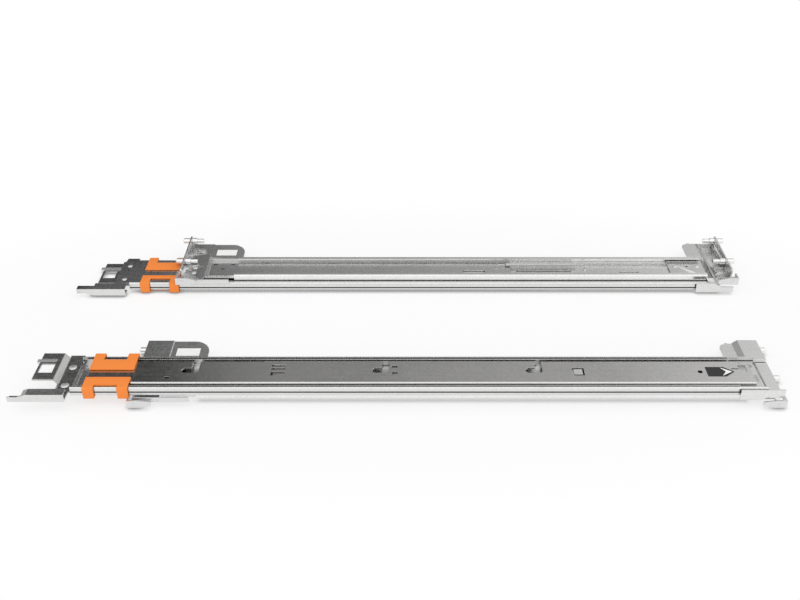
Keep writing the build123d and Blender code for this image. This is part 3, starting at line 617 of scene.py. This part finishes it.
# Forms pressed up in the front brackets' pans, each as its reach in x and y, the levels of its
# foot and top, and the run of its slope. The hollow is cut out of the deep form.
PAN_FORM = ((-25.0, -1.6), (50.6, 83.4), 10.9, 15.2, 4.5)
PAN_FORM_HOLLOW = ((-23.5, -2.9), (51.9, 82.1), 9.0, 13.9, 4.5)
PAN_STEP = ((-13.5, -1.6), (2.0, 50.6), 10.9, 12.1, 1.5)

# How far the steep sides of a pressed form lean in
PRESS_SLOPE = 0.6


class RAILS_OT_front_pans(bpy.types.Operator):
    """Press the deep form and the step in the pans of the front brackets"""

    bl_idname = "rails.front_pans"
    bl_label = "Front Pans"

    def execute(self, context):
        for side in SIDES:
            bm, hollow = bmesh.new(), bmesh.new()
            raised(bm, *PAN_FORM)
            bmesh.ops.transform(bm, matrix=rail_matrix(side), verts=bm.verts)
            bmesh.ops.recalc_face_normals(bm, faces=bm.faces)
            raised(hollow, *PAN_FORM_HOLLOW)
            form = placed(f"front_pan_form_{side}", cut(bm, hollow, side), "bracket_zinc_sheet",
                          CUT_ANGLE)
            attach(form, "fixed_rails")
            bm = bmesh.new()
            raised(bm, *PAN_STEP)
            step = piece(f"front_pan_step_{side}", bm, side, "bracket_zinc_sheet",
                         SHEET_ANGLE)
            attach(step, "fixed_rails")
        return {"FINISHED"}


# Near wrap of the rear flange: a lip as an outline in x and y, and the tab that it folds into
WRAP_LIP = ((-597.2, -0.9), (-546, -0.9), (-545, -0.1), (-546, 0.6), (-597.2, 0.6))
WRAP_LIP_Z = (5.6, 10.7)
WRAP_TAB = ((-597.2, -574), (0.5, 6.0))
WRAP_TAB_Z = (6.75, 8.15)

# Ledge between the two levels of the rear bracket, as its reach in x and y, and in z
LEDGE = ((-598, -584), (53.6, 55.4))
LEDGE_Z = (8.0, 11.6)


class RAILS_OT_rear_wraps(bpy.types.Operator):
    """Fold the near wrap and the ledge of the rear brackets"""

    bl_idname = "rails.rear_wraps"
    bl_label = "Rear Wraps"

    def execute(self, context):
        for side in SIDES:
            bm = bmesh.new()
            plate(bm, WRAP_LIP, *WRAP_LIP_Z)
            plate(bm, rectangle(*WRAP_TAB), *WRAP_TAB_Z)
            wrap = piece(f"rear_wrap_{side}", bm, side, "bright_steel", SHEET_ANGLE)
            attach(wrap, f"rear_slide_{side}")
            bm = bmesh.new()
            plate(bm, rectangle(*LEDGE), *LEDGE_Z)
            ledge = piece(f"rear_ledge_{side}", bm, side, "bright_steel")
            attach(ledge, f"rear_slide_{side}")
        return {"FINISHED"}


# Round wires along the folds across the brackets, in lighter steel as a painted highlight on each
# bend: place along x, stations along y, level and radius
FOLDS = {
    "front": (-19.8, (0.5, 40, 81.5), 9.5, 0.8),
    "rear": (-573.6, (55.4, 70, 84.2), 12.9, 0.55),
}
FOLD_SIDES = 10

# Painted shade: a dark plate in the groove beside the front fold, and a dark band under the rear
# one, each as its reach in x and y, and in z
FOLD_GROOVE = ((-19.2, -18.0), (0.5, 81.5))
FOLD_GROOVE_Z = (9.3, 9.6)
STEP_BAND = ((-574.3, -573.3), (55.4, 84))
STEP_BAND_Z = (11.3, 11.6)

# Dark wedge, painted shade where the rear pan steps down to the extension: profile in x and z, and
# reach in y
STEP_WEDGE = ((-573.0, 6.75), (-568.5, 8.2), (-573.0, 8.2))
STEP_WEDGE_Y = (10.5, 42.5)


class RAILS_OT_bracket_folds(bpy.types.Operator):
    """Lay round wires along the folds as painted highlights, and dark plates at the steps as
    painted shade, across the brackets
    """

    bl_idname = "rails.bracket_folds"
    bl_label = "Bracket Folds"

    def execute(self, context):
        for side in SIDES:
            for end, (x, stations, z, radius) in FOLDS.items():
                bm = bmesh.new()
                # A lighter wire on each fold, a painted highlight on the bend
                wire(bm, [(x, y, z) for y in stations], radius, FOLD_SIDES)
                fold = piece(f"{end}_fold_{side}", bm, side, "bright_steel")
                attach(fold, bracket_body(end, side))
            bm = bmesh.new()
            # Painted shade in the groove beside the front fold
            plate(bm, rectangle(*FOLD_GROOVE), *FOLD_GROOVE_Z)
            groove = piece(f"front_fold_groove_{side}", bm, side, "dark_zinc_and_painted_shade")
            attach(groove, "fixed_rails")
            bm = bmesh.new()
            # Painted shade under the rear fold and where the rear pan steps down
            plate(bm, rectangle(*STEP_BAND), *STEP_BAND_Z)
            bar(bm, STEP_WEDGE, *STEP_WEDGE_Y)
            step = piece(f"rear_step_{side}", bm, side, "dark_zinc_and_painted_shade",
                         SHEET_ANGLE)
            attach(step, f"rear_slide_{side}")
        return {"FINISHED"}


# Half-moon front stop: middle in x and y, radius and levels of its dark face, which is painted
# shade of the recess behind it, and radius, level and wire of its rim, whose lighter steel is a
# painted highlight
STOP_MIDDLE = (-16.2, 26)
STOP_FACE_RADIUS = 5.6
STOP_FACE_Z = (12.4, 12.65)
STOP_RIM_RADIUS = 5.9
STOP_RIM_Z = 12.5
STOP_RIM_WIRE = 0.32
STOP_STEPS = 12


def half_moon(radius):
    """The round edge of the front stop, in x and y."""
    turns = [math.pi * step / STOP_STEPS for step in range(STOP_STEPS + 1)]
    x, y = STOP_MIDDLE
    return [(x - radius * math.sin(turn), y + radius * math.cos(turn)) for turn in turns]


class RAILS_OT_front_stops(bpy.types.Operator):
    """Face the half-moon front stops with painted shade and rim them with a wire as a painted
    highlight
    """

    bl_idname = "rails.front_stops"
    bl_label = "Front Stops"

    def execute(self, context):
        for side in SIDES:
            bm = bmesh.new()
            # Dark face: painted shade of the recess behind the stop
            plate(bm, half_moon(STOP_FACE_RADIUS), *STOP_FACE_Z)
            face = piece(f"front_stop_face_{side}", bm, side, "dark_zinc_and_painted_shade")
            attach(face, "fixed_rails")
            bm = bmesh.new()
            # Rim: a wire whose lighter steel is a painted highlight on the stop's edge
            wire(bm, [(x, y, STOP_RIM_Z) for x, y in half_moon(STOP_RIM_RADIUS)], STOP_RIM_WIRE)
            rim = piece(f"front_stop_rim_{side}", bm, side, "bright_steel")
            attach(rim, "fixed_rails")
        return {"FINISHED"}


# What is trimmed off the tip of the cable-arm hook, as its reach in x and y, and in z
HOOK_TRIM = ((-720, -707.5), (-12, 6))
HOOK_TRIM_Z = (-1, 30)


class RAILS_OT_cable_arm_hooks(bpy.types.Operator):
    """Trim the tips of the cable-arm hooks"""

    bl_idname = "rails.cable_arm_hooks"
    bl_label = "Cable-Arm Hooks"

    def execute(self, context):
        for side in SIDES:
            tip = bmesh.new()
            plate(tip, rectangle(*HOOK_TRIM), *HOOK_TRIM_Z)
            bm = cut(node_copy(f"cable_arm_hook_{side}"), tip, side)
            hook = dressed("cable_arm_hook", side, bm, "zinc_sheet")
            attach(hook, "fixed_rails")
        return {"FINISHED"}


# Blank labels on both faces of the rear grip, as their reach in x and y, and in z
REAR_LABEL = ((-568, -545.5), (60, 72))
REAR_LABEL_ZS = ((13.0, 13.15), (11.35, 11.5))


class RAILS_OT_rear_labels(bpy.types.Operator):
    """Lay the blank labels on the rear grips"""

    bl_idname = "rails.rear_labels"
    bl_label = "Rear Labels"

    def execute(self, context):
        for side in SIDES:
            bm = bmesh.new()
            for z in REAR_LABEL_ZS:
                plate(bm, rectangle(*REAR_LABEL), *z)
            labels = piece(f"blank_labels_{side}", bm, side, "label_paper")
            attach(labels, f"rear_slide_{side}")
            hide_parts(f"rear_labels_{side}")
        return {"FINISHED"}


# Rounding of the transport clips' edges, from corners sharper than an angle in degrees
CLIP_ROUNDING = 0.45
CLIP_CORNER = 30

# Deeper part of the lower clip's bar, as its reach in x and y, and in z
CLIP_BAR = ((-633, -608.5), (4, 12))
CLIP_BAR_Z = (20.75, 22.4)


class RAILS_OT_clips(bpy.types.Operator):
    """Round the moulded transport clips and fill out the lower one's bar"""

    bl_idname = "rails.clips"
    bl_label = "Transport Clips"

    def execute(self, context):
        for side in SIDES:
            for node in ("upper_clip", "lower_clip"):
                bm = node_copy(f"{node}_{side}")
                bmesh.ops.dissolve_limit(bm, angle_limit=math.radians(1), verts=bm.verts,
                                         edges=bm.edges)
                corner = math.radians(CLIP_CORNER)
                edges = [edge for edge in bm.edges if edge.calc_face_angle(0) > corner]
                bmesh.ops.bevel(bm, geom=edges, offset=CLIP_ROUNDING * MM, segments=3, profile=0.5,
                                affect="EDGES", clamp_overlap=True)
                clip = dressed(node, side, bm, "orange_plastic")
                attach(clip, f"{node}_{side}")
            bm = bmesh.new()
            plate(bm, rectangle(*CLIP_BAR), *CLIP_BAR_Z)
            deep = piece(f"lower_clip_bar_{side}", bm, side, "orange_plastic")
            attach(deep, f"lower_clip_{side}")
        return {"FINISHED"}


# Small bevels of the rack pins: round the tail, round the collar, and along and round the tip
TAIL_BEVEL = 0.4
COLLAR_BEVEL = 0.3
TIP_BEVEL = (0.2, 0.3)


class RAILS_OT_rack_pins(bpy.types.Operator):
    """Turn the rack pins with bevelled noses, collars and thin tails"""

    bl_idname = "rails.rack_pins"
    bl_label = "Rack Pins"

    def execute(self, context):
        size = context.scene.rail_pins
        collar_front = -FLANGE_GAUGE
        collar_back = collar_front - size.collar_length
        tip = size.nose - size.bevel
        profile = [
            (-size.tail_length, 0), (-size.tail_length, size.tail - TAIL_BEVEL),
            (TAIL_BEVEL - size.tail_length, size.tail), (collar_back, size.tail),
            (collar_back, size.collar - COLLAR_BEVEL), (collar_back + COLLAR_BEVEL, size.collar),
            (collar_front, size.collar), (collar_front, size.nose),
            (size.reach - size.bevel, size.nose), (size.reach - TIP_BEVEL[0], tip),
            (size.reach, tip - TIP_BEVEL[1]), (size.reach, 0),
        ]
        for side in SIDES:
            for end, face_x, ahead in (("front", FRONT_FACE, 1), ("rear", REAR_FACE, -1)):
                bm = bmesh.new()
                for pin_y in PIN_YS:
                    turned(bm, profile, (face_x, pin_y, PIN_Z), (ahead, 0, 0))
                pins = piece(f"{end}_rack_pins_{side}", bm, side, "polished_pins")
                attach(pins, bracket_body(end, side))
                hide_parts(f"{end}_pins_{side}")
        return {"FINISHED"}


# Radius of a bearing ball, in millimetres
BALL_RADIUS = 1.2


class RAILS_OT_balls(bpy.types.Operator):
    """Round the bearing balls in both cages"""

    bl_idname = "rails.balls"
    bl_label = "Bearing Balls"

    def execute(self, context):
        for side in SIDES:
            for cage in ("outer", "inner"):
                node = f"{cage}_balls_{side}"
                bm = bmesh.new()
                for centre in ball_centres(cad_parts[node]):
                    bmesh.ops.create_uvsphere(bm, u_segments=20, v_segments=12,
                                              radius=BALL_RADIUS * MM,
                                              matrix=Matrix.Translation(centre))
                balls = placed(f"{node}_round", bm, "polished_balls", BALL_ANGLE)
                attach(balls, f"{cage}_cage_{side}")
                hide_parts(node)
        return {"FINISHED"}


def ball_centres(obj):
    """The middles of the loose parts of a node, in the row frame."""
    bm = bmesh.new()
    bm.from_mesh(obj.data)
    bmesh.ops.remove_doubles(bm, verts=bm.verts, dist=1e-5)
    left, centres = set(bm.verts), []
    while left:
        ball, edge = set(), [left.pop()]
        while edge:
            vert = edge.pop()
            ball.add(vert)
            for link in vert.link_edges:
                other = link.other_vert(vert)
                if other not in ball:
                    left.discard(other)
                    edge.append(other)
        lows = Vector([min(vert.co[axis] for vert in ball) for axis in range(3)])
        highs = Vector([max(vert.co[axis] for vert in ball) for axis in range(3)])
        centres.append((lows + highs) / 2)
    bm.free()
    return centres


# Depth spring: the ends of its coil along x, its axis in y and z, its straight ends, and the
# steps of one turn
COIL_REAR = -244.0
COIL_FRONT = -167.0
SPRING_AXIS = (31.0, 6.0)
SPRING_END = 9.6
COIL_GAP = 0.5
TURN_STEPS = 14


class RAILS_OT_depth_springs(bpy.types.Operator):
    """Wind the depth springs"""

    bl_idname = "rails.depth_springs"
    bl_label = "Depth Springs"

    def execute(self, context):
        size = context.scene.rail_springs
        radius = size.radius - size.wire / 2
        y, z = SPRING_AXIS
        rear_end, front_end = COIL_REAR - SPRING_END, COIL_FRONT + SPRING_END
        count = size.turns * TURN_STEPS
        coil = []
        for step in range(count + 1):
            turn = 2 * math.pi * step / TURN_STEPS
            coil.append((COIL_REAR + (COIL_FRONT - COIL_REAR) * step / count,
                         y + radius * math.sin(turn), z + radius * math.cos(turn)))
        points = [(rear_end, y, z), (COIL_REAR - COIL_GAP, y, z), *coil,
                  (COIL_FRONT + COIL_GAP, y, z), (front_end, y, z)]
        for side in SIDES:
            bm = bmesh.new()
            wire(bm, points, size.wire / 2)
            spring = piece(f"wound_spring_{side}", bm, side, "bright_steel",
                           COIL_ANGLE)
            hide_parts(f"depth_spring_{side}")
            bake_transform(spring)
        return {"FINISHED"}


# Rivets, each by its place in x, y and z. The cable arm's have a large head on the server side
# and a small one on the rack side.
FRONT_RIVETS = ((-57.0, 13.0, 8.3), (-57.0, 31.0, 8.3), (-33.0, 13.0, 8.3), (-33.0, 31.0, 8.3))
REAR_RIVETS = ((-585.0, 15.5, 6.7), (-585.0, 25.5, 6.7))
ARM_RIVETS_LARGE = ((-660.5, 11.4, 15.5), (-660.5, 38.6, 15.5))
ARM_RIVETS_SMALL = ((-660.5, 11.4, 12.5), (-660.5, 38.6, 12.5))
RIVET_STEPS = 5


def dome(radius, height):
    """The profile of a rivet head, from its rim to its crown."""
    turns = [math.pi / 2 * step / RIVET_STEPS for step in range(RIVET_STEPS)]
    rim = [(height * math.sin(turn), radius * math.cos(turn)) for turn in turns]
    return rim + [(height, 0)]


class RAILS_OT_rivets(bpy.types.Operator):
    """Set the rivet heads of the brackets and of the cable-arm plate"""

    bl_idname = "rails.rivets"
    bl_label = "Rivets"

    def execute(self, context):
        size = context.scene.rail_rivets
        small, large = dome(size.small, size.height), dome(size.large, size.height)
        for side in SIDES:
            for name, body, rows in (
                ("front_bracket", "fixed_rails", ((FRONT_RIVETS, small, -1),)),
                ("cable_arm", "fixed_rails", ((ARM_RIVETS_LARGE, large, 1),
                                              (ARM_RIVETS_SMALL, small, -1))),
                ("rear_bracket", f"rear_slide_{side}", ((REAR_RIVETS, small, -1),)),
            ):
                bm = bmesh.new()
                for places, head, up in rows:
                    for rivet in places:
                        turned(bm, head, rivet, (0, 0, up))
                rivets = piece(f"{name}_rivets_{side}", bm, side, "bright_steel")
                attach(rivets, body)
        return {"FINISHED"}


# White arrow on the direction label, as an outline in x and y, and its reach in z
ARROW = ((-52.5, 19.3), (-42.2, 25.5), (-52.5, 31.7), (-48.0, 25.5))
ARROW_Z = (20.59, 20.64)


class RAILS_OT_arrow(bpy.types.Operator):
    """Print the white arrow on the direction label"""

    bl_idname = "rails.arrow"
    bl_label = "Arrow Print"

    def execute(self, context):
        for side in SIDES:
            bm = bmesh.new()
            plate(bm, ARROW, *ARROW_Z)
            arrow = piece(f"arrow_print_{side}", bm, side, "label_paper")
            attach(arrow, f"inner_{side}")
        return {"FINISHED"}


# Floor: half its width in metres, and how far it lies under the rails
FLOOR_REACH = 6
FLOOR_DROP = 0.0002

# Share of the floor that is seen as plain white, by the rails and away from them. It grows
# between two distances from the middle, in metres, over an ellipse that is long in x.
FLOOR_GLOW = (0.66, 1.0)
GLOW_FADE = (0.17, 0.3)
GLOW_ELLIPSE = (0.45, 1, 0)

# Painted contact shadow: how far from the rails the floor darkens, in millimetres, how open it is
# there where it is darkest and where it is plain, and how dark it gets where they touch it
CONTACT_REACH = 6.0
CONTACT_OPENING = (0.35, 0.95)
CONTACT_SHADE = 0.4

# Repeats to the metre and levels of the floor's faint grain
FLOOR_GRAIN = 60
FLOOR_LEVELS = (0.99, 1.01)


def lit_floor(base):
    """Pale floor that the camera and the metal see as white, with a soft shadow left on it, and a
    painted contact shadow where the rails come near.
    """
    material, nodes, links, shader = bare_material("stage_floor")
    shader.inputs["Roughness"].default_value = 0.8
    where = nodes.new("ShaderNodeTexCoord").outputs["Object"]
    grain = noise(nodes, links, where, FLOOR_GRAIN)
    level = ranged(nodes, links, grain, (0, 1), FLOOR_LEVELS)
    # Painted contact shadow, on both the floor's colour and its white glow
    near = nodes.new("ShaderNodeAmbientOcclusion")
    near.samples = 8
    near.inputs["Distance"].default_value = CONTACT_REACH * MM
    painted_contact_shadow = faded(nodes, links, near.outputs["AO"], CONTACT_OPENING, (CONTACT_SHADE, 1))
    painted(nodes, links, shader, base, combined(nodes, links, "MULTIPLY", level, painted_contact_shadow))
    glow = nodes.new("ShaderNodeEmission")
    links.new(painted_contact_shadow, glow.inputs["Strength"])
    flatten = nodes.new("ShaderNodeVectorMath")
    flatten.operation = "MULTIPLY"
    flatten.inputs[1].default_value = GLOW_ELLIPSE
    links.new(where, flatten.inputs[0])
    away = nodes.new("ShaderNodeVectorMath")
    away.operation = "LENGTH"
    links.new(flatten.outputs["Vector"], away.inputs[0])
    white = faded(nodes, links, away.outputs["Value"], GLOW_FADE, FLOOR_GLOW)
    white = combined(nodes, links, "MULTIPLY", white, seen_rays(nodes, links, "Is Glossy Ray"))
    mix = nodes.new("ShaderNodeMixShader")
    links.new(white, mix.inputs["Fac"])
    links.new(shader.outputs["BSDF"], mix.inputs[1])
    links.new(glow.outputs["Emission"], mix.inputs[2])
    links.new(mix.outputs["Shader"], nodes["Material Output"].inputs["Surface"])
    return material


def seen_rays(nodes, links, *others):
    """One for a ray from the camera, through glass or of the other kinds, and otherwise nought."""
    path = nodes.new("ShaderNodeLightPath")
    total = path.outputs["Is Camera Ray"]
    for ray in ("Is Transmission Ray", *others):
        total = combined(nodes, links, "MAXIMUM", total, path.outputs[ray])
    return total


# Brightness of the room's far wall, from left to right, by the sideways part of the direction
WALL_LEVELS = (
    (-0.5, 0.45), (-0.4, 0.08), (-0.33, 0.0), (-0.245, 0.0), (-0.205, 0.07), (-0.165, 0.3),
    (-0.08, 0.27), (0.0, 0.28), (0.08, 0.39), (0.2, 0.42), (0.24, 0.45), (0.3, 0.66), (0.45, 0.9),
)

# Where the wall sets in, by the part of the direction away from the camera, and where it ends
# overhead, by the upward part
WALL_START = (0.1, 0.5)
WALL_TOP = (0.66, 0.9)


def studio_room():
    """White surroundings with a soft grey wall behind the rails, and plain white to the camera."""
    world = bpy.data.worlds.new("white_room")
    world.use_nodes = True
    nodes, links = world.node_tree.nodes, world.node_tree.links
    room = nodes["Background"]
    room.inputs["Color"].default_value = (1, 1, 1, 1)
    split = nodes.new("ShaderNodeSeparateXYZ")
    links.new(nodes.new("ShaderNodeTexCoord").outputs["Generated"], split.inputs["Vector"])
    behind = faded(nodes, links, split.outputs["Y"], WALL_START, (0, 1))
    below_top = faded(nodes, links, split.outputs["Z"], WALL_TOP, (1, 0))
    ramp = nodes.new("ShaderNodeValToRGB")
    links.new(ranged(nodes, links, split.outputs["X"], (-0.5, 0.5), (0, 1)), ramp.inputs["Fac"])
    stops = ramp.color_ramp.elements
    stops.remove(stops[1])
    for index, (across, brightness) in enumerate(WALL_LEVELS):
        stop = stops.new(across + 0.5) if index else stops[0]
        stop.position = across + 0.5
        stop.color = (brightness, brightness, brightness, 1)
    level = nodes.new("ShaderNodeMix")
    links.new(combined(nodes, links, "MULTIPLY", behind, below_top), level.inputs["Factor"])
    level.inputs["A"].default_value = 1.0
    links.new(ramp.outputs["Color"], level.inputs["B"])
    links.new(level.outputs["Result"], room.inputs["Strength"])
    white = nodes.new("ShaderNodeBackground")
    white.inputs["Color"].default_value = (1, 1, 1, 1)
    seen = nodes.new("ShaderNodeMixShader")
    links.new(seen_rays(nodes, links), seen.inputs["Fac"])
    links.new(room.outputs["Background"], seen.inputs[1])
    links.new(white.outputs["Background"], seen.inputs[2])
    links.new(seen.outputs["Shader"], nodes["World Output"].inputs["Surface"])
    return world


# Lamps: name, place in metres, power in watts, and width and depth in metres
LAMPS = (
    ("strip_lamp", (0.0, -0.6, 1.4), 3, (3.2, 0.4)),
    ("side_lamp", (1.5, 0.1, 1.2), 0.5, (0.9, 0.9)),
)


class RAILS_OT_stage(bpy.types.Operator):
    """Build the floor, the lamps, the white surroundings and the camera"""

    bl_idname = "rails.stage"
    bl_label = "Stage"

    def execute(self, context):
        stage = context.scene.rail_stage
        bm = bmesh.new()
        bmesh.ops.create_grid(bm, x_segments=2, y_segments=2, size=FLOOR_REACH)
        mesh = bpy.data.meshes.new("stage_floor")
        bm.to_mesh(mesh)
        bm.free()
        mesh.materials.append(lit_floor(tuple(stage.floor)))
        floor = bpy.data.objects.new("stage_floor", mesh)
        floor.location.z = -FLOOR_DROP
        context.scene.collection.objects.link(floor)
        for name, at, power, (width, depth) in LAMPS:
            data = bpy.data.lights.new(name, "AREA")
            data.energy = power
            data.shape = "RECTANGLE"
            data.size, data.size_y = width, depth
            lamp = bpy.data.objects.new(name, data)
            lamp.location = at
            lamp.rotation_euler = (-Vector(at)).to_track_quat("-Z", "Y").to_euler()
            context.scene.collection.objects.link(lamp)
        context.scene.world = studio_room()
        data = bpy.data.cameras.new("photo_camera")
        data.lens = stage.lens
        data.sensor_width = 36
        camera = bpy.data.objects.new("photo_camera", data)
        camera.location = (stage.camera_x, stage.camera_y, stage.camera_z)
        camera.rotation_euler = (math.pi / 2 - stage.pitch, 0, 0)
        context.scene.collection.objects.link(camera)
        context.scene.camera = camera
        context.scene.view_settings.view_transform = "Standard"
        return {"FINISHED"}


class RAILS_PT_panel(bpy.types.Panel):
    """Lists the steps that dress the rails"""

    bl_idname = "RAILS_PT_panel"
    bl_label = "Server Rails"
    bl_space_type = "VIEW_3D"
    bl_region_type = "UI"
    bl_category = "Server Rails"

    def draw(self, context):
        for step in STEPS:
            self.layout.operator(step.bl_idname)


STEPS = (
    RAILS_OT_finish_sheet, RAILS_OT_brackets, RAILS_OT_front_pans, RAILS_OT_rear_wraps,
    RAILS_OT_bracket_folds, RAILS_OT_front_stops, RAILS_OT_cable_arm_hooks, RAILS_OT_rear_labels,
    RAILS_OT_clips, RAILS_OT_rack_pins, RAILS_OT_balls, RAILS_OT_depth_springs, RAILS_OT_rivets,
    RAILS_OT_arrow, RAILS_OT_stage,
)
SETTINGS = {
    "rail_finishes": RailFinishes, "rail_pins": PinSizes, "rail_rivets": RivetSizes,
    "rail_springs": SpringSizes, "rail_stage": StageSettings,
}


def register():
    for cls in (*SETTINGS.values(), *STEPS, RAILS_PT_panel):
        bpy.utils.register_class(cls)
    for name, group in SETTINGS.items():
        setattr(bpy.types.Scene, name, PointerProperty(type=group))


def unregister():
    for name in SETTINGS:
        delattr(bpy.types.Scene, name)
    for cls in (RAILS_PT_panel, *reversed(STEPS), *reversed(SETTINGS.values())):
        bpy.utils.unregister_class(cls)


def main():
    register()
    for step in STEPS:
        group, name = step.bl_idname.split(".")
        getattr(getattr(bpy.ops, group), name)()


if __name__ == "__main__":
    main()
